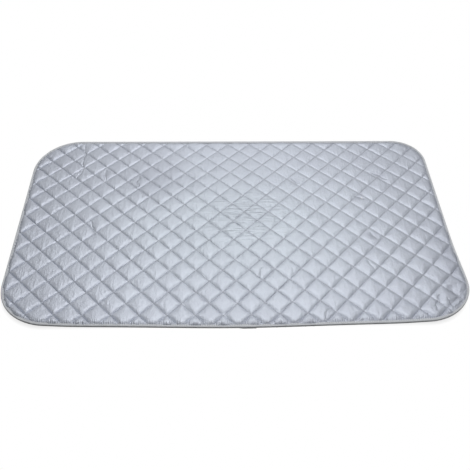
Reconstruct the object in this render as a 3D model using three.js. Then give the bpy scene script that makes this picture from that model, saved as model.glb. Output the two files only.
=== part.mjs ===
// A quilted ironing pad in millimetres: X along its length, Y from the front edge to the back, Z up.
// The origin is the middle of the face that lies on the table.
import * as THREE from "three";

// Driving sizes
const PAD_LENGTH = 850; // left to right, over the binding
const PAD_WIDTH = 480; // front to back, over the binding
const CORNER_RADIUS = 80; // at the outside of the binding
const ROW_SPACING = 34; // between neighbouring rows of quilting, square to them
const RISING_SHIFT = 1; // the middle row that climbs to the right passes this far beside the pad's middle
const FALLING_SHIFT = -2; // the same for the middle row that falls to the right
const TOP_LOFT = 4.5; // a diamond's crown above its seams
const COVER_CLOTH = 0.5; // the coated cloth at a seam
const BACKING_CLOTH = 0.5; // the backing cloth at a seam
const PRESSED_WADDING = 1.2; // the wadding where the rows of stitches hold it down
const THREAD_DIAMETER = 0.4;
const TURN_INSET = 2; // where a row turns into the next one, in from the edge of the layers
const TAPE_THICKNESS = 0.8; // folded tape, two layers of it
const FLAP_WIDTH = 6.5; // how far the tape reaches over the top and under the back
const FOLD_RADIUS = 2.5; // outside of the tape's two folds
const STITCH_INSET = 4.6; // the row that holds the tape, in from the pad's outside
const TAPE_JOIN_X = 12; // where the two ends of the tape meet on the front edge

// Clearances
const LAYER_GAP = 0.2;
const THREAD_GAP = 0.1;
const EDGE_GAP = 0.3;
const JOIN_GAP = 0.4;

// Fineness of the round parts
const CORNER_STEPS = 6;
const FOLD_STEPS = 2;
const MITRE_LIMIT = 3;

// Sizes that follow
const HALF_DIAGONAL = ROW_SPACING / Math.SQRT2;
const LAYER_INSET = TAPE_THICKNESS + EDGE_GAP;
const FLAP_REACH = FLAP_WIDTH - LAYER_INSET;
const THREAD_PAIR = 2 * THREAD_DIAMETER + 3 * THREAD_GAP;
const UNDER_SEAM = Math.max(
  (TAPE_THICKNESS + THREAD_PAIR) / (1 - TURN_INSET / HALF_DIAGONAL),
  (TAPE_THICKNESS + LAYER_GAP) / (1 - FLAP_REACH / HALF_DIAGONAL),
);
const BACKING_TOP = UNDER_SEAM + BACKING_CLOTH;
const WADDING_BASE = BACKING_TOP + LAYER_GAP;
const COVER_BASE = WADDING_BASE + PRESSED_WADDING + LAYER_GAP;
const TOP_SEAM = COVER_BASE + COVER_CLOTH;
const TOP_SLOPE = TOP_LOFT / HALF_DIAGONAL;
const UNDER_SLOPE = UNDER_SEAM / HALF_DIAGONAL;
const FLAP_LIFT = Math.max(
  TURN_INSET * TOP_SLOPE + THREAD_PAIR,
  FLAP_REACH * TOP_SLOPE + LAYER_GAP,
);
const BINDING_HEIGHT = TOP_SEAM + FLAP_LIFT + TAPE_THICKNESS;

// Outline of the pad
const FLAT_HALF_LENGTH = PAD_LENGTH / 2 - CORNER_RADIUS;
const FLAT_HALF_WIDTH = PAD_WIDTH / 2 - CORNER_RADIUS;

// The points of one rounded corner, counted anticlockwise from the back right one.
function cornerAt(corner, inset) {
  const side = new THREE.Vector2(corner === 0 || corner === 3 ? 1 : -1, corner < 2 ? 1 : -1);
  const radius = CORNER_RADIUS - inset;
  const points = [];
  for (let step = 0; step <= CORNER_STEPS; step += 1) {
    const angle = ((corner + step / CORNER_STEPS) * Math.PI) / 2;
    const x = side.x * FLAT_HALF_LENGTH + radius * Math.cos(angle);
    const y = side.y * FLAT_HALF_WIDTH + radius * Math.sin(angle);
    points.push(new THREE.Vector2(x, y));
  }
  return points;
}

// The whole outline, anticlockwise, moved in by the inset.
function outlineAt(inset) {
  return [0, 1, 2, 3].flatMap((corner) => cornerAt(corner, inset));
}

// How far a point lies inside the edge of the layers.
function distanceInside(point) {
  const acrossX = Math.abs(point.x) - FLAT_HALF_LENGTH;
  const acrossY = Math.abs(point.y) - FLAT_HALF_WIDTH;
  const beyond = Math.hypot(Math.max(acrossX, 0), Math.max(acrossY, 0));
  const within = Math.min(Math.max(acrossX, acrossY), 0);
  return CORNER_RADIUS - LAYER_INSET - beyond - within;
}

// Where the segment from a to b meets the line on which the two side values change sign.
// The ends are put in one order first, so that two neighbours sharing the segment get the same point.
function meeting(a, sideOfA, b, sideOfB) {
  const swapped = a.x > b.x || (a.x === b.x && a.y > b.y);
  const [from, to] = swapped ? [b, a] : [a, b];
  const [sideFrom, sideTo] = swapped ? [sideOfB, sideOfA] : [sideOfA, sideOfB];
  return from.clone().lerp(to, sideFrom / (sideFrom - sideTo));
}

// The part of a convex polygon that lies inside a convex anticlockwise outline.
function clipTo(polygon, outline) {
  let kept = polygon;
  outline.forEach((from, index) => {
    const edge = outline[(index + 1) % outline.length].clone().sub(from);
    const sides = kept.map((point) => edge.cross(point.clone().sub(from)));
    const next = [];
    kept.forEach((point, k) => {
      const follower = (k + 1) % kept.length;
      if (sides[k] >= 0) {
        next.push(point);
      }
      if (sides[k] * sides[follower] < 0) {
        next.push(meeting(point, sides[k], kept[follower], sides[follower]));
      }
    });
    kept = next;
  });
  return kept;
}

// The crossing of rising row i and falling row j.
function crossing(i, j) {
  const rising = RISING_SHIFT + i * ROW_SPACING;
  const falling = FALLING_SHIFT + j * ROW_SPACING;
  return new THREE.Vector2((rising + falling) / Math.SQRT2, (falling - rising) / Math.SQRT2);
}

const ROW_REACH = Math.ceil((PAD_LENGTH + PAD_WIDTH) / 2 / Math.SQRT2 / ROW_SPACING) + 1;

// Solids from triangles
const lift = (point, z) => new THREE.Vector3(point.x, point.y, z);

// A closed solid from its triangles, turned to face out.
function solidFrom(triangles) {
  const volume = triangles.reduce((sum, [a, b, c]) => sum + a.dot(b.clone().cross(c)), 0);
  const outward = volume > 0 ? triangles : triangles.map(([a, b, c]) => [a, c, b]);
  const geometry = new THREE.BufferGeometry().setFromPoints(outward.flat());
  geometry.computeVertexNormals();
  return geometry;
}

// A layer that is flat on its hidden side and rises to a crown in each diamond on the other side.
function quiltedSheet(flatZ, seamZ, crownZ) {
  const outline = outlineAt(LAYER_INSET);
  const triangles = [];
  const edges = new Map();
  const key = (point) => `${point.x.toFixed(3)} ${point.y.toFixed(3)}`;
  for (let i = -ROW_REACH; i < ROW_REACH; i += 1) {
    for (let j = -ROW_REACH; j < ROW_REACH; j += 1) {
      const diamond = [crossing(i, j), crossing(i + 1, j), crossing(i + 1, j + 1), crossing(i, j + 1)];
      const patch = clipTo(diamond, outline);
      if (patch.length < 3) {
        continue;
      }
      const middle = patch.reduce((sum, point) => sum.add(point), new THREE.Vector2());
      middle.divideScalar(patch.length);
      const share = Math.min(1, distanceInside(middle) / HALF_DIAGONAL);
      const crown = lift(middle, THREE.MathUtils.lerp(seamZ, crownZ, share));
      patch.forEach((point, k) => {
        const next = patch[(k + 1) % patch.length];
        triangles.push([lift(point, seamZ), lift(next, seamZ), crown]);
        edges.set(`${key(point)} ${key(next)}`, [point, next]);
      });
    }
  }
  const centre = new THREE.Vector3(0, 0, flatZ);
  for (const [from, to] of edges.values()) {
    if (edges.has(`${key(to)} ${key(from)}`)) {
      continue;
    }
    triangles.push([lift(from, seamZ), lift(from, flatZ), lift(to, flatZ)]);
    triangles.push([lift(from, seamZ), lift(to, flatZ), lift(to, seamZ)]);
    triangles.push([centre, lift(to, flatZ), lift(from, flatZ)]);
  }
  return solidFrom(triangles);
}

// A section carried along a flat path with mitred corners. Its points are (to the left of travel, up).
function sweep(path, section) {
  const rings = path.map((point, k) => {
    const before = path[Math.max(k, 1) - 1];
    const after = path[Math.min(k, path.length - 2) + 1];
    const arriving = (k === 0 ? after.clone().sub(point) : point.clone().sub(before)).normalize();
    const leaving = (k === path.length - 1 ? arriving.clone() : after.clone().sub(point)).normalize();
    const along = arriving.add(leaving).normalize();
    const stretch = Math.min(MITRE_LIMIT, 1 / along.dot(leaving));
    const left = new THREE.Vector2(-along.y, along.x).multiplyScalar(stretch);
    return section.map((corner) => lift(point.clone().addScaledVector(left, corner.x), corner.y));
  });
  const triangles = [];
  rings.slice(1).forEach((ring, k) => {
    section.forEach((_, from) => {
      const to = (from + 1) % section.length;
      triangles.push([rings[k][from], rings[k][to], ring[to]]);
      triangles.push([rings[k][from], ring[to], ring[from]]);
    });
  });
  for (const [a, b, c] of THREE.ShapeUtils.triangulateShape(section, [])) {
    triangles.push([rings[0][a], rings[0][c], rings[0][b]]);
    triangles.push([rings.at(-1)[a], rings.at(-1)[b], rings.at(-1)[c]]);
  }
  return solidFrom(triangles);
}

// Threads
// Four corners of a thread's section about a height.
function threadSection(z) {
  const radius = THREAD_DIAMETER / 2;
  return [0, 1, 2, 3].map((quarter) => {
    const angle = (quarter * Math.PI) / 2;
    return new THREE.Vector2(radius * Math.cos(angle), z + radius * Math.sin(angle));
  });
}

// Where a row enters and leaves the outline along which the rows turn, with the outline edge of each end.
function rowEnds(start, end, outline) {
  const ends = [];
  const row = end.clone().sub(start);
  outline.forEach((from, edge) => {
    const to = outline[(edge + 1) % outline.length];
    const sideFrom = row.cross(from.clone().sub(start));
    const sideTo = row.cross(to.clone().sub(start));
    if (sideFrom * sideTo < 0) {
      ends.push({ edge, point: meeting(from, sideFrom, to, sideTo) });
    }
  });
  return ends.sort((a, b) => row.dot(a.point) - row.dot(b.point));
}

// The outline's own corners between two row ends, by the shorter way round.
function cornersBetween(a, b, outline) {
  const count = outline.length;
  const forward = (b.edge - a.edge + count) % count;
  const backward = (a.edge - b.edge + count) % count;
  const passed = [];
  for (let k = 0; k < Math.min(forward, backward); k += 1) {
    passed.push(outline[forward <= backward ? (a.edge + 1 + k) % count : (a.edge - k + count) % count]);
  }
  const clear = 3 * THREAD_DIAMETER;
  return passed.filter((p) => p.distanceTo(a.point) > clear && p.distanceTo(b.point) > clear);
}

// One continuous thread that runs row after row across the pad and turns under the binding.
function zigzag(rowPoint, z) {
  const outline = outlineAt(LAYER_INSET + TURN_INSET);
  const path = [];
  let last = null;
  let forward = true;
  for (let row = -ROW_REACH; row <= ROW_REACH; row += 1) {
    const ends = rowEnds(rowPoint(row, -ROW_REACH), rowPoint(row, ROW_REACH), outline);
    if (ends.length < 2 || ends[0].point.distanceTo(ends[1].point) < ROW_SPACING) {
      continue;
    }
    const [first, second] = forward ? ends : [ends[1], ends[0]];
    if (last) {
      path.push(...cornersBetween(last, first, outline));
    }
    path.push(first.point, second.point);
    last = second;
    forward = !forward;
  }
  return sweep(path, threadSection(z));
}

const risingRow = (row, along) => crossing(row, along);
const fallingRow = (row, along) => crossing(along, row);

const LEVEL_STEP = THREAD_DIAMETER + THREAD_GAP;
const NEEDLE_LEVEL = TOP_SEAM + TURN_INSET * TOP_SLOPE + THREAD_GAP + THREAD_DIAMETER / 2;
const BOBBIN_LEVEL = UNDER_SEAM - TURN_INSET * UNDER_SLOPE - THREAD_GAP - THREAD_DIAMETER / 2;

// Binding
// Once round the pad from the join on the front edge, moved in by the inset.
function roundFromJoin(inset) {
  const front = -PAD_WIDTH / 2 + inset;
  const path = [new THREE.Vector2(TAPE_JOIN_X + JOIN_GAP / 2, front)];
  for (const corner of [3, 0, 1, 2]) {
    path.push(...cornerAt(corner, inset));
  }
  path.push(new THREE.Vector2(TAPE_JOIN_X - JOIN_GAP / 2, front));
  return path;
}

// A quarter turn about a fold of the tape.
function fold(centreZ, radius, startAngle, turn) {
  const points = [];
  for (let step = 0; step <= FOLD_STEPS; step += 1) {
    const angle = startAngle + (turn * step) / FOLD_STEPS;
    const across = FOLD_RADIUS + radius * Math.cos(angle);
    points.push(new THREE.Vector2(across, centreZ + radius * Math.sin(angle)));
  }
  return points;
}

// The tape's section: under the back, up the edge, over the top, and home along its inside.
// That is clockwise, so it is turned round for the sweep.
function tapeSection() {
  const inner = FOLD_RADIUS - TAPE_THICKNESS;
  const upperFold = BINDING_HEIGHT - FOLD_RADIUS;
  const clockwise = [
    new THREE.Vector2(FLAP_WIDTH, 0),
    ...fold(FOLD_RADIUS, FOLD_RADIUS, -Math.PI / 2, -Math.PI / 2),
    ...fold(upperFold, FOLD_RADIUS, Math.PI, -Math.PI / 2),
    new THREE.Vector2(FLAP_WIDTH, BINDING_HEIGHT),
    new THREE.Vector2(FLAP_WIDTH, BINDING_HEIGHT - TAPE_THICKNESS),
    ...fold(upperFold, inner, Math.PI / 2, Math.PI / 2),
    ...fold(FOLD_RADIUS, inner, Math.PI, Math.PI / 2),
    new THREE.Vector2(FLAP_WIDTH, TAPE_THICKNESS),
  ];
  return clockwise.reverse();
}

// Wadding
function waddingSlab() {
  const shape = new THREE.Shape(outlineAt(LAYER_INSET));
  const slab = new THREE.ExtrudeGeometry(shape, { depth: PRESSED_WADDING, bevelEnabled: false });
  return slab.translate(0, 0, WADDING_BASE);
}

// Assembly
const SILVER_CLOTH = { color: 0xc3c9d0, roughness: 0.45, metalness: 0.35 };
const WHITE_FIBRE = { color: 0xe9e7e0, roughness: 0.95, metalness: 0 };
const GREY_COTTON = { color: 0x9a9da0, roughness: 0.9, metalness: 0 };
const GREY_TAPE = { color: 0xa9abab, roughness: 0.85, metalness: 0 };
const GREY_THREAD = { color: 0xb4b8bd, roughness: 0.7, metalness: 0 };

const group = new THREE.Group();

function addPiece(name, geometry, look) {
  const mesh = new THREE.Mesh(geometry, new THREE.MeshStandardMaterial(look));
  mesh.name = name;
  group.add(mesh);
}

addPiece("top_cover", quiltedSheet(COVER_BASE, TOP_SEAM, TOP_SEAM + TOP_LOFT), SILVER_CLOTH);
addPiece("wadding", waddingSlab(), WHITE_FIBRE);
addPiece("backing", quiltedSheet(BACKING_TOP, UNDER_SEAM, 0), GREY_COTTON);
addPiece("edge_binding", sweep(roundFromJoin(0), tapeSection()), GREY_TAPE);
addPiece("quilt_needle_rising", zigzag(risingRow, NEEDLE_LEVEL), GREY_THREAD);
addPiece("quilt_needle_falling", zigzag(fallingRow, NEEDLE_LEVEL + LEVEL_STEP), GREY_THREAD);
addPiece("quilt_bobbin_rising", zigzag(risingRow, BOBBIN_LEVEL), GREY_THREAD);
addPiece("quilt_bobbin_falling", zigzag(fallingRow, BOBBIN_LEVEL - LEVEL_STEP), GREY_THREAD);

const BINDING_STITCH_LEVEL = BINDING_HEIGHT + THREAD_GAP + THREAD_DIAMETER / 2;
addPiece("binding_thread", sweep(roundFromJoin(STITCH_INSET), threadSection(BINDING_STITCH_LEVEL)), GREY_THREAD);

export default group;
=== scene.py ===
import math

import bpy
import numpy as np
from mathutils import Matrix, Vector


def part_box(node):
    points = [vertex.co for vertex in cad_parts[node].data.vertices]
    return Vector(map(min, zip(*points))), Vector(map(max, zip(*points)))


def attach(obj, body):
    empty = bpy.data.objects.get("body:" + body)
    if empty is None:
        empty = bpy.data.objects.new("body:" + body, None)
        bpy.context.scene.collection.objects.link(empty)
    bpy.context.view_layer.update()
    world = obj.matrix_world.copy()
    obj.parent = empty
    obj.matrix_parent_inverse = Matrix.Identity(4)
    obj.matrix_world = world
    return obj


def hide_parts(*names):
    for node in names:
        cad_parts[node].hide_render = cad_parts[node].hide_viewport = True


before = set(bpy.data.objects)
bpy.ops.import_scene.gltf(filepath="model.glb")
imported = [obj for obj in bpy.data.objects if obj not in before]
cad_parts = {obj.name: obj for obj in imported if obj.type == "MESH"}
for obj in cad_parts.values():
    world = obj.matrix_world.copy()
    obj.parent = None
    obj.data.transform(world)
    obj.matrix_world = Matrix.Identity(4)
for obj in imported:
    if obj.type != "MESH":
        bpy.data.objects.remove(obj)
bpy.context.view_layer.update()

# Top cover
# One sheet of plain-woven cotton with a silver heat-reflecting coating, the face that is ironed on.
# It is quilted through the wadding to the backing along two families of rows, and swells between them.
tape_low, tape_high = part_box("edge_binding")
half_length = (tape_high[0] - tape_low[0]) / 2
half_width = (tape_high[1] - tape_low[1]) / 2
corner_radii = {(1, -1): 0.084, (1, 1): 0.066, (-1, 1): 0.094, (-1, -1): 0.088}
radius_between = 0.08
layer_inset = 0.0011
tape_cover = 0.0046
tape_pinch = 0.0003
held_margin = tape_cover + tape_pinch
row_spacing = 0.034
rising_shift = 0.001
falling_shift = -0.002
cover_cloth = 0.0004
pressed_cover = 0.0005
seam_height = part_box("top_cover")[0][2] + pressed_cover
cover_steps = 12
crowding = 2.1
start_loft = 0.0014
unevenness = 0.00004
unevenness_seed = 11
cloth_spare = 0.009
swell_frames = 12

# Smooth surfaces over the pad: level, slope along, slope back, curve along, twist and curve back.
# The first two say how far the sewn rows stray from ruled ones, in millimetres.
rising_stray = (-4, 0, 0, 3, -9, 4)
falling_stray = (2, 9, -8, 0, -5, -6)
loft_kept = (0.76, -0.21, -0.28, 0.27, -0.11, 0)
least_loft = 0.5
most_loft = 1.3
flattest_place = (0.32, 0.3)
flattest_reach = (0.20, 0.35)
flattest_loss = 0.13


def corner_core(x, y):
    """The radius of the corner nearest to each point, and the nearest point within the corners' centres."""
    quarters = [(x * side > 0) & (y * end > 0) for side, end in corner_radii]
    radius = np.select(quarters, list(corner_radii.values()), radius_between)
    core_x = np.clip(x, radius - half_length, half_length - radius)
    core_y = np.clip(y, radius - half_width, half_width - radius)
    return radius, core_x, core_y


def depth_inside(x, y, inset):
    """How far points lie inside the pad's rounded outline, after it is moved in by the inset."""
    radius, core_x, core_y = corner_core(x, y)
    beyond = np.hypot(x - core_x, y - core_y)
    within = np.minimum(half_length - radius - np.abs(x), half_width - radius - np.abs(y))
    return radius - inset - beyond + np.maximum(within, 0)


def onto_outline(x, y, inset):
    """Moves points near the outline straight onto it."""
    radius, core_x, core_y = corner_core(x, y)
    scale = (radius - inset) / np.hypot(x - core_x, y - core_y)
    return core_x + (x - core_x) * scale, core_y + (y - core_y) * scale


def surface(terms, x, y):
    """The height of a smooth surface over the pad at each point."""
    level, slope_along, slope_back, curve_along, twist, curve_back = terms
    along = x / half_length
    back = y / half_width
    sloped = level + slope_along * along + slope_back * back
    return sloped + curve_along * along ** 2 + twist * along * back + curve_back * back ** 2


def ruled_point(rising, falling):
    """Where a rising and a falling row would cross if both were ruled."""
    return (rising + falling) / math.sqrt(2), (falling - rising) / math.sqrt(2)


def row_point(rising, falling):
    """Where a rising and a falling row cross. The real rows stray some millimetres from the ruled ones."""
    x, y = ruled_point(rising, falling)
    rising = rising + surface(rising_stray, x, y) / 1000
    falling = falling + surface(falling_stray, x, y) / 1000
    return ruled_point(rising, falling)


def row_place(count, steps):
    """Where a mesh line lies, in rows of stitches. The lines crowd towards the seams."""
    share = (count % steps) / steps
    near = 0.5 * (2 * np.minimum(share, 1 - share)) ** crowding
    return count // steps + np.where(share > 0.5, 1 - near, near)


def seam_gap(i, j, steps):
    """How far mesh points lie from the nearest row of stitches."""
    shares = [row_place(count, steps) % 1 for count in (i, j)]
    return row_spacing * np.min([np.minimum(share, 1 - share) for share in shares], axis=0)


def rows_to_corner():
    """How many rows of a family reach from the pad's middle past its farthest corner."""
    return math.ceil((half_length + half_width) / math.sqrt(2) / row_spacing)


def quilt_grid(steps):
    """A sheet cut to the outline, with mesh lines along the rows: x, y, steps i and j, and its quads."""
    reach = rows_to_corner() * steps
    counts = np.arange(-reach, reach + 1)
    i, j = np.meshgrid(counts, counts, indexing="ij")
    rising = rising_shift + row_spacing * row_place(i, steps)
    falling = falling_shift + row_spacing * row_place(j, steps)
    x, y = row_point(rising, falling)
    middle_x = (x[:-1, :-1] + x[1:, 1:]) / 2
    middle_y = (y[:-1, :-1] + y[1:, 1:]) / 2
    kept = depth_inside(middle_x, middle_y, layer_inset) > 0
    number = np.arange(x.size).reshape(x.shape)
    corners = (number[:-1, :-1], number[1:, :-1], number[1:, 1:], number[:-1, 1:])
    quads = np.stack([corner[kept] for corner in corners], axis=1)
    used, quads = np.unique(quads, return_inverse=True)
    quads = quads.reshape(-1, 4)
    x, y, i, j = (field.ravel()[used] for field in (x, y, i, j))
    on_rim = np.bincount(quads.ravel()) < 4
    x[on_rim], y[on_rim] = onto_outline(x[on_rim], y[on_rim], layer_inset)
    return x, y, i, j, quads


def new_object(name, points, faces):
    """A smooth-shaded mesh object at the origin."""
    mesh = bpy.data.meshes.new(name)
    mesh.from_pydata(points.tolist(), [], faces)
    mesh.polygons.foreach_set("use_smooth", [True] * len(mesh.polygons))
    made = bpy.data.objects.new(name, mesh)
    bpy.context.collection.objects.link(made)
    return made


def thicken(made, thickness):
    """Gives a sheet the thickness of its cloth, behind its face."""
    body = made.modifiers.new("cloth_thickness", "SOLIDIFY")
    body.thickness = thickness
    body.offset = -1


def store(made, name, values):
    """Keeps one value at each point of a mesh, for its material."""
    made.data.attributes.new(name, "FLOAT", "POINT").data.foreach_set("value", values)


def points_of(made):
    """An object's points with its modifiers, as an array."""
    evaluated = made.evaluated_get(bpy.context.evaluated_depsgraph_get())
    flat = np.empty(len(evaluated.data.vertices) * 3)
    evaluated.data.vertices.foreach_get("co", flat)
    return flat.reshape(-1, 3)


def swollen(x, y, i, j, quads, steps):
    """The cover's points after the wadding has swelled it, about the height of its seams."""
    depth = depth_inside(x, y, layer_inset)
    held = (i % steps == 0) | (j % steps == 0) | (depth < held_margin)
    dome = np.sin(np.pi * (row_place(i, steps) % 1)) * np.sin(np.pi * (row_place(j, steps) % 1))
    uneven = np.random.default_rng(unevenness_seed).normal(0, unevenness, x.size)
    z = np.where(held, 0, start_loft * dome + uneven)
    flat = np.stack([x, y, z], axis=1)
    sheet = new_object("swelling_sheet", flat, quads.tolist())
    seams = sheet.vertex_groups.new(name="seams")
    seams.add(np.nonzero(held)[0].tolist(), 1.0, "REPLACE")
    cloth = sheet.modifiers.new("cloth", "CLOTH")
    cloth.settings.quality = 5
    cloth.settings.mass = 0.0005
    cloth.settings.tension_stiffness = 5
    cloth.settings.compression_stiffness = 5
    cloth.settings.shear_stiffness = 2
    cloth.settings.bending_stiffness = 30
    cloth.settings.air_damping = 2
    cloth.settings.vertex_group_mass = "seams"
    cloth.settings.shrink_min = -cloth_spare
    cloth.settings.use_pressure = True
    cloth.settings.uniform_pressure_force = 8
    cloth.settings.effector_weights.gravity = 0
    cloth.collision_settings.use_collision = False
    cloth.point_cache.frame_start = 1
    cloth.point_cache.frame_end = swell_frames
    for step in range(1, swell_frames + 1):
        bpy.context.scene.frame_set(step)
    settled = points_of(sheet)
    bpy.context.scene.frame_set(1)
    bpy.data.objects.remove(sheet)
    return settled


# Folds left from packing, by kind: depth and half width in metres, how sharply they crease, and their ends.
upright_folds = (
    ((-0.325, 0.230), (-0.320, 0.185)),
    ((-0.325, 0.190), (-0.320, 0.155)),
    ((-0.320, 0.150), (-0.330, 0.120)),
    ((-0.270, 0.150), (-0.270, 0.110)),
    ((-0.200, 0.135), (-0.200, 0.095)),
    ((-0.285, 0.005), (-0.270, -0.040)),
)
level_folds = (
    ((-0.020, 0.035), (0.050, 0.030)),
    ((-0.020, 0.020), (0.065, 0.025)),
    ((0.000, 0.010), (0.060, 0.010)),
)
right_dents = (
    ((0.125, 0.125), (0.140, 0.105)),
    ((0.265, -0.030), (0.280, -0.050)),
    ((0.250, 0.070), (0.275, 0.060)),
    ((0.300, 0.140), (0.330, 0.115)),
)
front_folds = (
    ((0.250, -0.100), (0.260, -0.125)),
    ((0.050, -0.115), (0.040, -0.140)),
    ((0.170, -0.205), (0.155, -0.230)),
)
corner_folds = (
    ((0.370, -0.180), (0.355, -0.220)),
    ((0.385, -0.190), (0.390, -0.215)),
    ((0.390, -0.210), (0.410, -0.195)),
)
corner_dent = (((0.390, -0.165), (0.405, -0.185)),)
fold_kinds = (
    (0.0019, 0.0034, 0.5, upright_folds),
    (0.0013, 0.0026, 0.5, level_folds),
    (0.0030, 0.0050, 0.2, right_dents),
    (0.0017, 0.0034, 0.5, front_folds),
    (0.0026, 0.0036, 0.5, corner_folds),
    (0.0040, 0.0110, 0.5, corner_dent),
)
packing_folds = [(*ends, deep, wide, sharp) for deep, wide, sharp, lines in fold_kinds for ends in lines]


def hump(gap, width):
    """A soft hump: 1 where the gap is nothing, dying away over the width."""
    return np.exp(-((gap / width) ** 2))


def eased(share):
    """A share kept between 0 and 1, with a soft start and end."""
    share = np.clip(share, 0, 1)
    return share ** 2 * (3 - 2 * share)


def fold_depth(x, y, spread=0.0):
    """How far the packing folds press the cover, or more widely what is under it, down at each point."""
    depth = np.zeros_like(x)
    for (x0, y0), (x1, y1), deep, wide, sharp in packing_folds:
        run_x, run_y = x1 - x0, y1 - y0
        along = ((x - x0) * run_x + (y - y0) * run_y) / (run_x ** 2 + run_y ** 2)
        near = np.clip(along, 0, 1)
        gap = np.hypot(x - x0 - near * run_x, y - y0 - near * run_y)
        fade = 1 - np.abs(2 * near - 1) ** 4
        depth = np.maximum(depth, deep * fade * hump(gap, wide + spread))
    return depth


def loft_share(x, y):
    """The share of its loft that each place keeps, least in the middle and at the back right."""
    share = np.clip(surface(loft_kept, x, y), least_loft, most_loft)
    flattest_along = hump(x / half_length - flattest_place[0], flattest_reach[0])
    flattest_back = hump(y / half_width - flattest_place[1], flattest_reach[1])
    return share - flattest_loss * flattest_along * flattest_back


# The soft pad doesn't lie quite as it was cut: how far it departs, and over what part of it.
bow_from = 0.1
front_bow = 0.006
bow_width = 0.19
corner_draw = 0.004
draw_place = 0.37
draw_width = 0.06
right_bulge = 0.005
bulge_from = 0.2
bulge_place = -0.155
bulge_width = 0.06


def laid(points):
    """Lets a ruled piece lie as the soft pad does, with its front edge bowed and its front corners drawn."""
    points = points.copy()
    forward = eased((bow_from - points[:, 1]) / (bow_from + half_width))
    bowed = front_bow * hump(points[:, 0], bow_width)
    drawn = corner_draw * hump(np.abs(points[:, 0]) - draw_place, draw_width)
    bulged = right_bulge * hump(points[:, 1] - bulge_place, bulge_width)
    points[:, 0] += bulged * np.clip((points[:, 0] - bulge_from) / (half_length - bulge_from), 0, 1) ** 2
    points[:, 1] += forward ** 2 * drawn - forward * bowed
    return points


# The rows are drawn in sharply at the left end of the pad, with flat diamonds, and softly at the right.
sharp_end = -0.34
sharp_fade = 0.28
sharp_crown = 0.5
tuck_depth = 0.0014
sharp_tuck_depth = 0.0019
tuck_places = (sharp_end, -0.06, 0.10, 0.34)
tuck_widths = (0.0011, 0.0017, 0.0018, 0.0026)
free_over = 0.002
rim_rise = 0.0016
rim_width = 0.006
rim_tuck = 0.003
loose_loft = 0.002
cover_x, cover_y, cover_i, cover_j, cover_quads = quilt_grid(cover_steps)
swell = swollen(cover_x, cover_y, cover_i, cover_j, cover_quads, cover_steps)
cover_depth = depth_inside(cover_x, cover_y, layer_inset)
cover_gap = seam_gap(cover_i, cover_j, cover_steps)
free = np.clip((cover_depth - held_margin) / free_over, 0, 1)
soft = np.clip((cover_x - sharp_end) / sharp_fade, 0, 1)
swell[:, 2] *= sharp_crown + (1 - sharp_crown) * soft
tuck_width = np.interp(cover_x, tuck_places, tuck_widths)
tucked = 1 - np.exp(-((cover_gap / tuck_width) ** (1 + soft)))
swell[:, 2] += free * (sharp_tuck_depth + (tuck_depth - sharp_tuck_depth) * soft) * tucked
rim = np.maximum(cover_depth - held_margin, 0) / rim_width
swell[:, 2] += rim_rise * rim * np.exp(1 - rim) * (1 - hump(cover_gap, rim_tuck))
swell[:, 2] *= loft_share(cover_x, cover_y)
cover_points = swell.copy()
loose = np.clip(swell[:, 2] / loose_loft, 0, 1)
cover_points[:, 2] -= loose * fold_depth(swell[:, 0], swell[:, 1])
cover_points[:, 2] += seam_height
cover = new_object("silver_cover", laid(cover_points), cover_quads.tolist())
thicken(cover, cover_cloth)

# The distance along the outline at each point, so that the gathers can run in from the tape.
radius, core_x, core_y = corner_core(cover_x, cover_y)
turn = np.arctan2(cover_y - core_y, cover_x - core_x)
front_right = np.abs(turn + np.pi / 4) < np.pi / 2
cover_run = radius * turn + np.where(front_right, core_x + core_y, -core_x - core_y)
store(cover, "edge_depth", cover_depth)
store(cover, "edge_run", cover_run)
store(cover, "seam_gap", cover_gap)


class Shade:
    """A socket of a material's nodes. Arithmetic on it adds Math nodes."""

    def __init__(self, tree, socket=None):
        self.tree = tree
        self.socket = socket

    def add(self, kind, settings=None, inputs=None, output=0):
        """Adds a node: its settings first, then the values or links of its sockets."""
        node = self.tree.nodes.new(kind)
        for name, value in (settings or {}).items():
            setattr(node, name, value)
        for name, value in (inputs or {}).items():
            if isinstance(value, Shade):
                self.tree.links.new(value.socket, node.inputs[name])
            else:
                node.inputs[name].default_value = value
        return Shade(self.tree, node.outputs[output])

    def maths(self, operation, first, second=0.0):
        """Adds a Math node."""
        return self.add("ShaderNodeMath", {"operation": operation}, {0: first, 1: second})

    def __add__(self, other):
        return self.maths("ADD", self, other)

    __radd__ = __add__

    def __sub__(self, other):
        return self.maths("SUBTRACT", self, other)

    def __rsub__(self, other):
        return self.maths("SUBTRACT", other, self)

    def __mul__(self, other):
        return self.maths("MULTIPLY", self, other)

    __rmul__ = __mul__

    def __truediv__(self, other):
        return self.maths("DIVIDE", self, other)

    def __rtruediv__(self, other):
        return self.maths("DIVIDE", other, self)

    def blend(self, low, high):
        """A colour between two others, by this value."""
        settings = {"data_type": "RGBA", "clamp_factor": True}
        return self.add("ShaderNodeMix", settings, {0: self, 6: low, 7: high}, output=2)

    def bell(self):
        """A soft bell over this value: 1 where it is 0, and 0.37 where it is 1."""
        return self.maths("POWER", 0.37, self * self)


def new_material(name):
    """A material with a Principled shader: the material, its nodes, the shader and object coordinates."""
    material = bpy.data.materials.new(name)
    material.use_nodes = True
    nodes = Shade(material.node_tree)
    shader = material.node_tree.nodes["Principled BSDF"]
    place = nodes.add("ShaderNodeTexCoord", output=3)
    return material, nodes, shader, place


def stored(nodes, name):
    """A value that the mesh keeps at each point."""
    return nodes.add("ShaderNodeAttribute", {"attribute_name": name}, output=2)


def axis(nodes, place, number):
    """One coordinate of a place: 0 along the pad, 1 towards its back."""
    return nodes.add("ShaderNodeSeparateXYZ", {}, {"Vector": place}, output=number)


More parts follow.
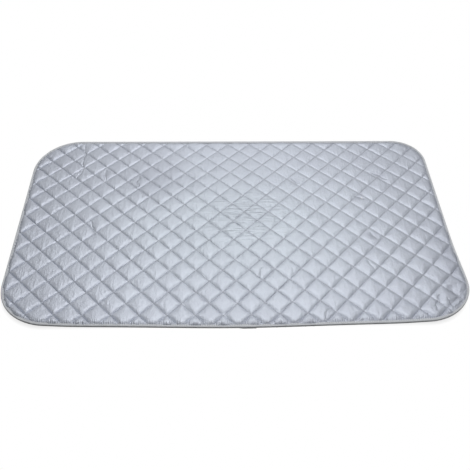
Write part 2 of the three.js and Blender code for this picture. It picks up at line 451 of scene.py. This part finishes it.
def turned(nodes, place, angle, scale=(1, 1, 1)):
    """Coordinates turned about the vertical and stretched, for what doesn't run along the pad."""
    return nodes.add("ShaderNodeMapping", {}, {"Vector": place, "Rotation": (0, 0, angle), "Scale": scale})


def weave(nodes, place, pitch):
    """The height of a plain weave, from 0 to 1: two sets of round threads that cross."""
    node_waves = 20 / (2 * math.pi)
    bands = {"wave_type": "BANDS", "wave_profile": "SIN"}
    inputs = {"Vector": place, "Scale": 1 / (node_waves * pitch), "Distortion": 0.6, "Detail": 1.0}
    warp = nodes.add("ShaderNodeTexWave", {**bands, "bands_direction": "X"}, inputs, output=1)
    weft = nodes.add("ShaderNodeTexWave", {**bands, "bands_direction": "Y"}, inputs, output=1)
    return nodes.maths("MAXIMUM", warp, weft)


def patches(nodes, place, scale, detail=3.0, roughness=0.55):
    """Cloudy unevenness from 0 to 1."""
    inputs = {"Vector": place, "Scale": scale, "Detail": detail, "Roughness": roughness}
    return nodes.add("ShaderNodeTexNoise", {}, inputs)


def ramp(nodes, value, start, end, low, high):
    """Eases from a low value to a high one while another value runs from its start to its end."""
    inputs = {"Value": value, "From Min": start, "From Max": end, "To Min": low, "To Max": high}
    return nodes.add("ShaderNodeMapRange", {"interpolation_type": "SMOOTHSTEP"}, inputs)


def outside_box(nodes, place, half):
    """How far places lie outside an upright box about the origin."""
    over = nodes.add("ShaderNodeVectorMath", {"operation": "ABSOLUTE"}, {0: place})
    over = nodes.add("ShaderNodeVectorMath", {"operation": "SUBTRACT"}, {0: over, 1: half})
    over = nodes.add("ShaderNodeVectorMath", {"operation": "MAXIMUM"}, {0: over, 1: (0, 0, 0)})
    return nodes.add("ShaderNodeVectorMath", {"operation": "LENGTH"}, {0: over}, output=1)


def round_patch(nodes, place, middle, reach):
    """A soft-edged patch of a surface, 1 in its middle, by its reach along the pad and across it."""
    inputs = {"Vector": place, "Location": (*middle, 0), "Scale": (*reach, 1)}
    spread = nodes.add("ShaderNodeMapping", {"vector_type": "TEXTURE"}, inputs)
    return nodes.add("ShaderNodeVectorMath", {"operation": "LENGTH"}, {0: spread}, output=1).bell()


def fold_creases(nodes, place):
    """The sharp creases along the packing folds, as a depth. They waver a little."""
    waver = 0.012
    run_share = 0.4
    width_share = 0.45
    wander = nodes.add("ShaderNodeTexNoise", {}, {"Vector": place, "Scale": 70.0, "Detail": 1.0}, output=1)
    settings = {"operation": "MULTIPLY_ADD"}
    wavering = nodes.add("ShaderNodeVectorMath", settings, {0: wander, 1: (waver, waver, 0), 2: place})
    total = 0.0
    for (x0, y0), (x1, y1), deep, wide, sharp in packing_folds:
        middle = ((x0 + x1) / 2 + waver / 2, (y0 + y1) / 2 + waver / 2, 0)
        heading = (0, 0, math.atan2(y1 - y0, x1 - x0))
        inputs = {"Vector": wavering, "Location": middle, "Rotation": heading}
        line = nodes.add("ShaderNodeMapping", {"vector_type": "TEXTURE"}, inputs)
        half_run = run_share * math.hypot(x1 - x0, y1 - y0)
        gap = outside_box(nodes, line, (half_run, 0, 1)) / (width_share * wide)
        total = gap.bell() * (sharp * deep) + total
    return total


def plug(shade, socket):
    """Feeds a shader's socket."""
    shade.tree.links.new(shade.socket, socket)


def emboss(nodes, shader, relief, strength=1.0):
    """Gives a surface its finest relief, a height in metres."""
    bump = nodes.add("ShaderNodeBump", {}, {"Height": relief, "Distance": 1.0, "Strength": strength})
    plug(bump, shader.inputs["Normal"])


fresh_dark = (0.432, 0.450, 0.523, 1)
fresh_light = (0.64, 0.683, 0.755, 1)
ironed_dark = (0.421, 0.451, 0.512, 1)
ironed_light = (0.624, 0.684, 0.739, 1)
# Painted shade: a darker silver for places on the cover that lie in shade.
painted_shade_silver = (0.34, 0.355, 0.42, 1)
# Painted shade in the creases along the rows and beside the tape: darker at the left, lighter at the right.
sharp_crease_shade = (0.40, 0.425, 0.48, 1)
soft_crease_shade = (0.455, 0.48, 0.545, 1)
cloud_share = 0.45
fine_share = 0.25
crinkle_share = 0.3
silver_roughness = 0.47
uneven_roughness = 0.14
silver, nodes, shader, place = new_material("silver_coating")
along = axis(nodes, place, 0)
backward = axis(nodes, place, 1)
seam = stored(nodes, "seam_gap")
edge_depth = stored(nodes, "edge_depth")
edge_run = stored(nodes, "edge_run")
cloudy = patches(nodes, place, scale=14.0)
fine_cloud = patches(nodes, place, scale=160.0, detail=2.0)
crinkle = patches(nodes, place, scale=420.0, detail=2.0)
tone = cloudy * cloud_share + fine_cloud * fine_share + crinkle * crinkle_share
fresh = tone.blend(fresh_dark, fresh_light)
ironed = tone.blend(ironed_dark, ironed_light)
coating = round_patch(nodes, place, middle=(0.0, -0.02), reach=(0.24, 0.17)).blend(fresh, ironed)

# Painted shade on the coating at the front right corner, the back left and the dents at the right: each
# place's middle, its reach along and across, and how dark it is painted.
painted_shade_places = [
    ((0.422, -0.115), (0.035, 0.105), 0.5),
    ((-0.165, 0.115), (0.062, 0.052), 0.36),
]
for (x0, y0), (x1, y1) in right_dents:
    painted_shade_places.append((((x0 + x1) / 2, (y0 + y1) / 2), (0.013, 0.010), 0.4))
painted_shade = 0.0
for middle, reach, share in painted_shade_places:
    painted_shade = round_patch(nodes, place, middle, reach) * share + painted_shade
coating = painted_shade.blend(coating, painted_shade_silver)

# Painted shade in the creases along the rows and beside the tape, wider and less dark towards the right.
shade_change = 0.15
rim_shade_scale = 0.24
crease = nodes.maths("MINIMUM", seam, (edge_depth - tape_cover) * rim_shade_scale)
crease_shade_width = ramp(nodes, along, start=-shade_change, end=shade_change, low=0.0008, high=0.0024)
to_right = ramp(nodes, along, start=-shade_change, end=shade_change, low=0.0, high=1.0)
unshaded = ramp(nodes, crease, start=0.0, end=crease_shade_width, low=0.0, high=1.0)
plug(unshaded.blend(to_right.blend(sharp_crease_shade, soft_crease_shade), coating), shader.inputs["Base Color"])
plug(silver_roughness + tone * uneven_roughness, shader.inputs["Roughness"])
shader.inputs["Metallic"].default_value = 0.55

# The finest relief: the weave, wrinkles larger to the left, ripples in the middle and gathers at the tape.
cover_weave = 0.0007
weave_height = 0.00006
streak_height = 0.0012
ripple_height = 0.0045
wrinkle_slant = 0.1
wrinkle_from = -0.40
wrinkle_to = 0.0
binding_stitch = 0.0040
stitch_pull = 0.14
gather_stretch = 0.15
streaks = patches(nodes, turned(nodes, place, wrinkle_slant, scale=(1, 0.3, 1)), scale=150.0, detail=2.0)
wrinkles = patches(nodes, turned(nodes, place, wrinkle_slant, scale=(1, 0.6, 1)), scale=340.0, detail=1.0)
crinkle_height = ramp(nodes, along, start=wrinkle_from, end=wrinkle_to, low=0.0005, high=0.0011)
wrinkle_height = ramp(nodes, along, start=wrinkle_from, end=wrinkle_to, low=0.0009, high=0.0)
ripples = patches(nodes, turned(nodes, place, 0.0, scale=(0.12, 1, 1)), scale=220.0, detail=1.0)
rumpled = round_patch(nodes, place, middle=(0.025, 0.010), reach=(0.075, 0.062))
along_edge = nodes.add("ShaderNodeCombineXYZ", {}, {"X": edge_run, "Y": edge_depth * gather_stretch})
gathers = patches(nodes, along_edge, scale=260.0, detail=0.0)
gathers = gathers + stitch_pull * nodes.maths("COSINE", edge_run * (2 * math.pi / binding_stitch))
by_tape = ramp(nodes, edge_depth, start=0.0055, end=0.0130, low=1.0, high=0.0)
gather_height = ramp(nodes, backward, start=-0.235, end=-0.205, low=0.0019, high=0.001)
relief = weave(nodes, place, cover_weave) * weave_height + streaks * streak_height
relief = relief + crinkle * crinkle_height + wrinkles * wrinkle_height - fold_creases(nodes, place)
relief = relief + ripples * rumpled * ripple_height
emboss(nodes, shader, relief + gathers * by_tape * gather_height)
cover.data.materials.append(silver)

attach(cover, "root")
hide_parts("top_cover")

# Wadding
# A layer of needled white polyester fibre between the two cloths, out of sight once the edge is bound.
# The rows of stitches press it almost flat, and it fills each diamond between them.
wadding_steps = 4
wadding_gap = 0.0006
pressed_backing = 0.0005
table_gap = 0.0003
under_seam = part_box("backing")[1][2] - pressed_backing
under_loft = under_seam - table_gap
under_press = 1.1
tape_clearance = 0.006
fibre_ease = 0.012
fold_spread = 0.006
upper_fill = 0.8
lower_fill = 0.6
lower_gap = 0.001


def pressed_under(height):
    """How far the backing swells below its seams, flattened by the table."""
    return under_loft * np.tanh(under_press * np.maximum(height, 0) / under_loft)


def closed_layer(top, bottom, quads):
    """Points and faces of a layer with two faces and a rim."""
    count = len(top)
    edges = np.concatenate([quads[:, [k, (k + 1) % 4]] for k in range(4)])
    codes = edges[:, 0] * count + edges[:, 1]
    reverse = edges[:, 1] * count + edges[:, 0]
    rim = edges[~np.isin(codes, reverse)]
    sides = np.stack([rim[:, 0], rim[:, 0] + count, rim[:, 1] + count, rim[:, 1]], axis=1)
    faces = np.concatenate([quads, quads[:, ::-1] + count, sides])
    return np.concatenate([top, bottom]), faces


swell_at = {(i, j): height for i, j, height in zip(cover_i, cover_j, swell[:, 2])}


def swell_under(i, j, steps):
    """The cover's swell over the points of a coarser sheet."""
    finer = cover_steps // steps
    return np.array([swell_at.get((a * finer, b * finer), 0.0) for a, b in zip(i, j)])


fibre_x, fibre_y, fibre_i, fibre_j, fibre_quads = quilt_grid(wadding_steps)
fibre_swell = swell_under(fibre_i, fibre_j, wadding_steps)
fibre_depth = depth_inside(fibre_x, fibre_y, layer_inset)
clear_of_tape = np.clip((fibre_depth - held_margin - tape_clearance) / fibre_ease, 0, 1)
fibre_swell = clear_of_tape * np.maximum(fibre_swell - fold_depth(fibre_x, fibre_y, fold_spread), 0)
top_height = seam_height - cover_cloth - wadding_gap + upper_fill * fibre_swell
base_height = under_seam + lower_gap - lower_fill * pressed_under(fibre_swell)
fibre_top = np.stack([fibre_x, fibre_y, top_height], axis=1)
fibre_base = np.stack([fibre_x, fibre_y, base_height], axis=1)
fibre_points, fibre_faces = closed_layer(fibre_top, fibre_base, fibre_quads)
wadding = new_object("fibre_wadding", laid(fibre_points), fibre_faces.tolist())

fibre_dark = (0.80, 0.79, 0.75, 1)
fibre_light = (0.93, 0.92, 0.89, 1)
strand_height = 0.0006
fibre, nodes, shader, place = new_material("white_fibre")
strands = patches(nodes, place, scale=900.0, detail=6.0, roughness=0.8)
plug(strands.blend(fibre_dark, fibre_light), shader.inputs["Base Color"])
shader.inputs["Roughness"].default_value = 0.95
emboss(nodes, shader, strands * strand_height)
wadding.data.materials.append(fibre)

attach(wadding, "root")
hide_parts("wadding")

# Backing
# One sheet of plain-woven grey cotton on the table side, cut to the same outline as the cover.
# It takes the bobbin side of the quilting, so it swells too, but the table presses its diamonds flat.
backing_cloth = 0.0004
backing_steps = 6
base_x, base_y, base_i, base_j, base_quads = quilt_grid(backing_steps)
backing_height = under_seam - pressed_under(swell_under(base_i, base_j, backing_steps))
backing_points = np.stack([base_x, base_y, backing_height], axis=1)
backing = new_object("cotton_backing", laid(backing_points), base_quads[:, ::-1].tolist())
thicken(backing, backing_cloth)

cotton_dark = (0.24, 0.245, 0.25, 1)
cotton_light = (0.38, 0.385, 0.39, 1)
cotton_roughness = 0.95
slub_polish = 0.15
backing_weave = 0.0008
cotton_thread_height = 0.00012
slub_height = 0.00015
cotton, nodes, shader, place = new_material("grey_cotton")
slubs = patches(nodes, place, scale=420.0, detail=4.0)
threads = weave(nodes, place, backing_weave)
tone = threads * 0.5 + slubs * 0.5
plug(tone.blend(cotton_dark, cotton_light), shader.inputs["Base Color"])
plug(cotton_roughness - slubs * slub_polish, shader.inputs["Roughness"])
shader.inputs["Sheen Weight"].default_value = 0.2
shader.inputs["Specular IOR Level"].default_value = 0.25
emboss(nodes, shader, threads * cotton_thread_height + slubs * slub_height, strength=0.8)
backing.data.materials.append(cotton)

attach(backing, "root")
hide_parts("backing")
cut_off = (1 - math.pi / 4) * sum(radius ** 2 for radius in corner_radii.values())
flat_area = 4 * half_length * half_width - cut_off

# Quilting threads
# Grey polyester sewing thread in lockstitch, sewn in two families of rows through all three layers.
# The needle thread shows on the cover and the bobbin thread on the backing, stitch by stitch.
thread_radius = 0.0002
quilt_stitch = 0.0045
quilt_hole = 0.0009
stitch_margin = 0.0038
stitch_sink = 1.6 * thread_radius
stitch_rings = ((-0.46, 0.15), (0.0, 1.0), (0.46, 0.15))
row_stagger = 3
look_along = 0.001


def stitch_shape(length):
    """One stitch along X: a four-sided thread that rises out of one needle hole and sinks into the next."""
    points = [(-0.5 * length, 0, -stitch_sink)]
    for share, rise in stitch_rings:
        for angle in (0, 90, 180, 270):
            side = thread_radius * math.cos(math.radians(angle))
            up = thread_radius * (rise + math.sin(math.radians(angle)))
            points.append((share * length, side, up))
    points.append((0.5 * length, 0, -stitch_sink))
    last = len(points) - 1
    faces = []
    for k in range(4):
        beside = (k + 1) % 4
        faces.append((0, 1 + beside, 1 + k))
        for ring in (1, 5):
            faces.append((ring + k, ring + beside, ring + 4 + beside, ring + 4 + k))
        faces.append((last, 9 + k, 9 + beside))
    return np.array(points), faces


def sew(name, places, directions, length, up):
    """Puts one stitch at each place, along its direction in plan, on the upper side or the lower."""
    shape, faces = stitch_shape(length)
    side = np.stack([-directions[:, 1], directions[:, 0]], axis=1)
    points = np.zeros((len(places), len(shape), 3))
    forward = shape[None, :, :1] * directions[:, None, :]
    sideways = up * shape[None, :, 1:2] * side[:, None, :]
    points[:, :, :2] = forward + sideways
    points[:, :, 2] = up * shape[None, :, 2]
    points += places[:, None, :]
    firsts = range(0, len(places) * len(shape), len(shape))
    every_face = [tuple(first + corner for corner in face) for first in firsts for face in faces]
    return new_object(name, laid(points.reshape(-1, 3)), every_face)


def quilting_row_places(family):
    """Stitch middles and directions along every row of a family, where the tape doesn't cover them."""
    reach = rows_to_corner()
    along = np.arange(-reach * row_spacing, reach * row_spacing, quilt_stitch)
    places = []
    directions = []
    for row in range(-reach, reach + 1):
        start = along + (row % row_stagger) * quilt_stitch / row_stagger
        if family == "rising":
            line = rising_shift + row * row_spacing
            ends = [row_point(line, start + step) for step in (-look_along, 0, look_along)]
        else:
            line = falling_shift + row * row_spacing
            ends = [row_point(start + step, line) for step in (-look_along, 0, look_along)]
        run = np.stack(ends[2], axis=1) - np.stack(ends[0], axis=1)
        middle = np.stack(ends[1], axis=1)
        seen = depth_inside(middle[:, 0], middle[:, 1], layer_inset) > stitch_margin
        places.append(middle[seen])
        directions.append(run[seen] / np.linalg.norm(run[seen], axis=1, keepdims=True))
    return np.concatenate(places), np.concatenate(directions)


def at_height(places, height):
    """Places in plan, put at one height or each at its own."""
    return np.column_stack([places, np.broadcast_to(height, len(places))])


# The thread's grey is painted darker than the thread itself, so that it also carries painted shade in the
# stitch grooves.
shaded_thread_dark = (0.20, 0.215, 0.24, 1)
shaded_thread_light = (0.33, 0.35, 0.38, 1)
twist_height = 0.00005
polyester, nodes, shader, place = new_material("grey_polyester_thread")
twist = nodes.add(
    "ShaderNodeTexWave",
    {"wave_type": "BANDS", "bands_direction": "DIAGONAL"},
    {"Vector": place, "Scale": 500.0, "Distortion": 1.0},
    output=1,
)
plug(twist.blend(shaded_thread_dark, shaded_thread_light), shader.inputs["Base Color"])
shader.inputs["Roughness"].default_value = 0.55
emboss(nodes, shader, twist * twist_height)

for family in ("rising", "falling"):
    places, directions = quilting_row_places(family)
    length = quilt_stitch - quilt_hole
    needle = sew(f"needle_stitches_{family}", at_height(places, seam_height), directions, length, 1)
    bobbin = sew(f"bobbin_stitches_{family}", at_height(places, under_seam), directions, length, -1)
    for stitches, node in ((needle, f"quilt_needle_{family}"), (bobbin, f"quilt_bobbin_{family}")):
        stitches.data.materials.append(polyester)
        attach(stitches, "root")
        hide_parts(node)

# Edge binding
# One length of grey bias tape, folded in half over the raw edge of the three layers, its own edges turned in.
# It is drawn round the corners and ends on the front edge, where its last end laps over the first.
tape_step = 0.0022
tape_thickness = 0.0008
inside_share = 0.8
flap_width = layer_inset + tape_cover
flap_lift = 0.0001
edge_rise = 0.0014
stitch_inset = 0.0041
tape_base = 0.0010
fold_radius = 0.0022
flap_top = seam_height + flap_lift + tape_thickness
edge_top = seam_height + edge_rise
fold_top = edge_top + tape_thickness
lap_start_x = 0.012
lap_length = 0.024
lap_ease = 0.010
lap_lift = 0.0009
lap_drop = 0.0006
lap_push = 0.9 * lap_lift
lap_push_width = 0.003
rolled_from = 0.36
rolled_over = 0.05
left_roll = 0.10
right_roll = 0.25
pucker_seed = 5
pucker_waves = (0.0045, 0.0062, 0.0085, 0.013, 0.021)
pucker_range = 2.6
slow_wave = 0.17
hem_inset = 0.0052
hem_width = 0.0010
hem_pucker = 0.00022
turn_inset = 0.0026
turn_width = 0.0016
turn_pucker = 0.00016
turn_push = 0.00012


def round_the_edge(step):
    """Places once round the outside from the join on the front edge, with outward directions and distance."""
    runs = [("line", half_length - corner_radii[1, -1] - lap_start_x, (lap_start_x, -half_width), (1, 0))]
    sides = ((1, -1), (1, 1), (-1, 1), (-1, -1))
    headings = ((0, 1), (-1, 0), (0, -1), (1, 0))
    for k, (side, end) in enumerate(sides):
        radius = corner_radii[side, end]
        centre = (side * (half_length - radius), end * (half_width - radius))
        runs.append(("arc", radius, centre, 90 * k - 90))
        next_radius = corner_radii[sides[(k + 1) % 4]]
        way_x, way_y = headings[k]
        length = 2 * (half_length * abs(way_x) + half_width * abs(way_y)) - radius - next_radius
        begin = (centre[0] + radius * way_y, centre[1] - radius * way_x)
        runs.append(("line", length, begin, headings[k]))
    runs[-1] = ("line", lap_start_x + lap_length - runs[-1][2][0], *runs[-1][2:])
    places = []
    outward = []
    travelled = []
    so_far = 0.0
    for kind, size, origin, heading in runs:
        length = size if kind == "line" else size * math.pi / 2
        count = math.ceil(length / step)
        share = np.arange(count) / count
        if kind == "line":
            spots = np.array(origin) + share[:, None] * length * np.array(heading)
            normals = np.tile((heading[1], -heading[0]), (count, 1))
        else:
            angle = np.radians(heading + 90 * share)
            normals = np.stack([np.cos(angle), np.sin(angle)], axis=1)
            spots = np.array(origin) + size * normals
        places.append(spots)
        outward.append(normals)
        travelled.append(so_far + share * length)
        so_far += length
    return np.concatenate(places), np.concatenate(outward), np.concatenate(travelled), so_far


def tape_outer_profile():
    """The outside of the folded tape, from its lower edge round to its upper edge: inset and height."""
    low_edge = [(flap_width, tape_base + 0.0007), (flap_width - 0.0006, tape_base + 0.0001)]
    low = [(stitch_inset, tape_base), (fold_radius, tape_base)]
    lower_turn = []
    for angle in np.radians((30, 60, 90)):
        inset = fold_radius - fold_radius * math.sin(angle)
        lower_turn.append((inset, tape_base + fold_radius - fold_radius * math.cos(angle)))
    upper_turn = []
    for angle in np.radians((0, 30, 60, 90)):
        inset = fold_radius - fold_radius * math.cos(angle)
        upper_turn.append((inset, fold_top - fold_radius + fold_radius * math.sin(angle)))
    high = [
        (0.0029, fold_top - 0.0002),
        (0.0035, flap_top + 0.0004),
        (stitch_inset, flap_top - 0.00015),
        (0.0047, flap_top + 0.0001),
        (hem_inset, flap_top),
        (flap_width, flap_top - 0.0004),
    ]
    return np.array(low_edge + low + lower_turn + upper_turn + high)


def tape_share(spots):
    """How much of its width the tape shows: it is rolled under at the ends of the pad, most at the right."""
    left = np.clip((-spots[:, 0] - rolled_from) / rolled_over, 0, 1)
    right = np.clip((spots[:, 0] - rolled_from) / rolled_over, 0, 1)
    return 1 - left_roll * left - right_roll * right


def pucker(travelled, seed):
    """Small uneven gathers along the tape, from about -1 to 1."""
    random = np.random.default_rng(seed)
    total = np.zeros_like(travelled)
    for wave in pucker_waves:
        total += np.sin(travelled / wave * 2 * math.pi + random.uniform(0, 2 * math.pi))
    slow = 0.6 + 0.4 * np.sin(travelled / slow_wave * 2 * math.pi + random.uniform(0, 2 * math.pi))
    return total / pucker_range * slow


def lap_share(travelled, tape_length):
    """How far the tape has climbed onto its own first end, from 0 to 1."""
    return eased((travelled - (tape_length - lap_length) + lap_ease) / lap_ease)


spots, outward, travelled, tape_length = round_the_edge(tape_step)
outer = tape_outer_profile()
slope = np.gradient(outer, axis=0)
inner_way = np.stack([slope[:, 1], -slope[:, 0]], axis=1)
inner_way = inner_way / np.linalg.norm(inner_way, axis=1, keepdims=True)
inner = outer + inner_way * tape_thickness * inside_share
profile = np.concatenate([outer, inner[::-1]])
turn_gather = pucker(travelled, pucker_seed)
hem_gather = pucker(travelled, pucker_seed + 1)
shown = tape_share(spots)
lap = lap_share(travelled, tape_length)
middle_height = (tape_base + edge_top) / 2
lines = []
for inset, height in profile:
    upper = np.clip((height - tape_base) / (edge_top - tape_base), 0, 1)
    hem = hump(inset - hem_inset, hem_width)
    turn = hump(inset - turn_inset, turn_width)
    lift = upper * (hem_pucker * hem * hem_gather + turn_pucker * turn * turn_gather)
    lift = lift + lap * (lap_lift if height > middle_height else -lap_drop)
    push = lap * lap_push * hump(inset, lap_push_width) + turn_push * turn * turn_gather
    across = spots - outward * (inset * shown - push)[:, None]
    lines.append(at_height(across, height + lift))
tape_points = np.stack(lines, axis=1).reshape(-1, 3)
ring = len(profile)
sections = len(spots)
first = np.arange(sections - 1)[:, None] * ring
here = np.arange(ring)[None, :]
beside = (here + 1) % ring
tape_quads = np.stack([first + here, first + ring + here, first + ring + beside, first + beside], axis=2)
tape_faces = tape_quads.reshape(-1, 4).tolist()
for k in range(ring // 2 - 1):
    cap = (k, k + 1, ring - 2 - k, ring - 1 - k)
    tape_faces.append(cap)
    tape_faces.append(tuple(corner + (sections - 1) * ring for corner in reversed(cap)))
tape = new_object("bias_tape_binding", laid(tape_points), tape_faces)
store(tape, "tape_run", np.repeat(travelled, ring))
store(tape, "tape_inset", np.tile(profile[:, 0], sections))

tape_dark = (0.43, 0.445, 0.465, 1)
tape_light = (0.60, 0.615, 0.64, 1)
thread_share = 0.3
wear_share = 0.5
# Painted light and shade on the tape's puffs, by this share of its tone.
puff_shading_share = 0.35
tape_roughness = 0.9
wear_polish = 0.2
tape_weave = 0.0006
puff_width = 0.0011
tape_thread_height = 0.00008
tape_rumple_height = 0.0002
puff_height = 0.0004
twill, nodes, shader, place = new_material("grey_bias_tape")
threads = weave(nodes, turned(nodes, place, math.radians(45)), tape_weave)
wear = patches(nodes, place, scale=60.0)
rumple = patches(nodes, place, scale=350.0)
# Painted light and shade: the tape is painted lighter on its raised puffs along the stitch line and darker in
# the dips between them.
by_row = ((stored(nodes, "tape_inset") - stitch_inset) / puff_width).bell()
puff = nodes.maths("COSINE", stored(nodes, "tape_run") * (2 * math.pi / binding_stitch)) * by_row
tone = threads * thread_share + wear * wear_share + puff * puff_shading_share
plug(tone.blend(tape_dark, tape_light), shader.inputs["Base Color"])
plug(tape_roughness - wear * wear_polish, shader.inputs["Roughness"])
shader.inputs["Sheen Weight"].default_value = 0.25
shader.inputs["Specular IOR Level"].default_value = 0.3
relief = threads * tape_thread_height + rumple * tape_rumple_height + puff * puff_height
emboss(nodes, shader, relief, strength=0.7)
tape.data.materials.append(twill)

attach(tape, "root")
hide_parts("edge_binding")

# Binding thread
# The same grey thread in a finer lockstitch along the tape's inner edge, all the way round.
# It goes through both flaps of the tape and the pressed layers between them.
binding_hole = 0.0010
needle_sink = 0.00012
bobbin_sink = 0.0001
spots, outward, travelled, tape_length = round_the_edge(binding_stitch)
places = spots - outward * (stitch_inset * tape_share(spots))[:, None]
directions = np.stack([-outward[:, 1], outward[:, 0]], axis=1)
lap = lap_share(travelled, tape_length)
length = binding_stitch - binding_hole
upper_places = at_height(places, flap_top - needle_sink + lap * lap_lift)
lower_places = at_height(places, tape_base - lap * lap_drop + bobbin_sink)
upper = sew("binding_stitches", upper_places, directions, length, 1)
lower = sew("binding_bobbin", lower_places, directions, length, -1)
for stitches in (upper, lower):
    stitches.data.materials.append(polyester)
    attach(stitches, "root")
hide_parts("binding_thread")

# Floor, light and camera
# A sweep of white paper that rises to a wall all round, one strip softbox overhead and a dim grey surround.
# The camera stands in front of the pad and looks down on it, as in the photograph.
flat_radius = 5.0
wall_radius = 1.6
wall_top = 2.1
sweep_sides = 72
around = np.radians(np.arange(sweep_sides) * 360 / sweep_sides)
rings = [(flat_radius, 0.0)]
for climb in np.radians((15, 30, 45, 60, 75, 90)):
    rings.append((flat_radius + wall_radius * math.sin(climb), wall_radius * (1 - math.cos(climb))))
rings.append((flat_radius + wall_radius, wall_top))
sweep_points = [(out * math.cos(a), out * math.sin(a), height) for out, height in rings for a in around]
sweep_faces = [tuple(range(sweep_sides))]
for ring_start in range(0, len(sweep_points) - sweep_sides, sweep_sides):
    for k in range(sweep_sides):
        here = ring_start + k
        beside = ring_start + (k + 1) % sweep_sides
        sweep_faces.append((here, beside, beside + sweep_sides, here + sweep_sides))
floor = new_object("studio_sweep", np.array(sweep_points), sweep_faces)

# The paper is seen as plain white, but keeps a thin soft shadow close round the pad.
shadow_from = -0.002
shadow_reach = 0.006
near_white = 0.84
seen_paper = (0.95, 0.95, 0.95, 1)
dim_paper = (0.3, 0.3, 0.3, 1)
paper, nodes, shader, place = new_material("white_paper")
shader.inputs["Roughness"].default_value = 1.0
shader.inputs["Specular IOR Level"].default_value = 0.0
by_camera = nodes.add("ShaderNodeLightPath", output="Is Camera Ray")
by_gloss = nodes.add("ShaderNodeLightPath", output="Is Glossy Ray")
by_glass = nodes.add("ShaderNodeLightPath", output="Is Transmission Ray")
seen = nodes.maths("MINIMUM", by_camera + by_gloss + by_glass, 1)
plug(seen.blend(dim_paper, seen_paper), shader.inputs["Base Color"])
along = axis(nodes, place, 0)
backward = axis(nodes, place, 1)
rounding = 0.0
for (side, end), radius in corner_radii.items():
    in_corner = nodes.maths("GREATER_THAN", along * side, 0) * nodes.maths("GREATER_THAN", backward * end, 0)
    rounding = in_corner * radius + rounding
core = {"X": half_length - rounding, "Y": half_width - rounding, "Z": 1}
away = outside_box(nodes, place, nodes.add("ShaderNodeCombineXYZ", {}, core)) - rounding - shadow_from
blank = nodes.add("ShaderNodeClamp", {}, {"Value": near_white + away * (1 - near_white) / shadow_reach})
white = nodes.add("ShaderNodeEmission", {}, {"Color": (1, 1, 1, 1), "Strength": 1.0})
lit = Shade(paper.node_tree, shader.outputs[0])
sweep = nodes.add("ShaderNodeMixShader", {}, {0: seen * blank, 1: lit, 2: white})
plug(sweep, paper.node_tree.nodes["Material Output"].inputs["Surface"])
floor.data.materials.append(paper)

surround_grey = (0.2, 0.2, 0.2, 1)
world = bpy.data.worlds.new("grey_surround")
world.use_nodes = True
world.node_tree.nodes["Background"].inputs["Color"].default_value = surround_grey
bpy.context.scene.world = world

lamp_data = bpy.data.lights.new("strip_softbox", "AREA")
lamp_data.shape = "RECTANGLE"
lamp_data.size = 0.4
lamp_data.size_y = 1.8
lamp_data.energy = 16.0
lamp = bpy.data.objects.new("strip_softbox", lamp_data)
bpy.context.collection.objects.link(lamp)
lamp.location = (0.075, 0.12, 1.15)

camera_place = (-0.0306, -0.7975, 0.9038)
heading_degrees = -2.396
downward_degrees = 49.703
roll_degrees = 1.434
camera_data = bpy.data.cameras.new("camera")
camera_data.sensor_width = 36
camera_data.lens = 46.08
camera = bpy.data.objects.new("camera", camera_data)
bpy.context.collection.objects.link(camera)
heading = Matrix.Rotation(math.radians(heading_degrees), 4, "Z")
tilt = Matrix.Rotation(math.radians(90 - downward_degrees), 4, "X")
roll = Matrix.Rotation(math.radians(roll_degrees), 4, "Z")
camera.matrix_world = Matrix.Translation(camera_place) @ heading @ tilt @ roll
bpy.context.scene.camera = camera
bpy.context.scene.view_settings.view_transform = "Standard"
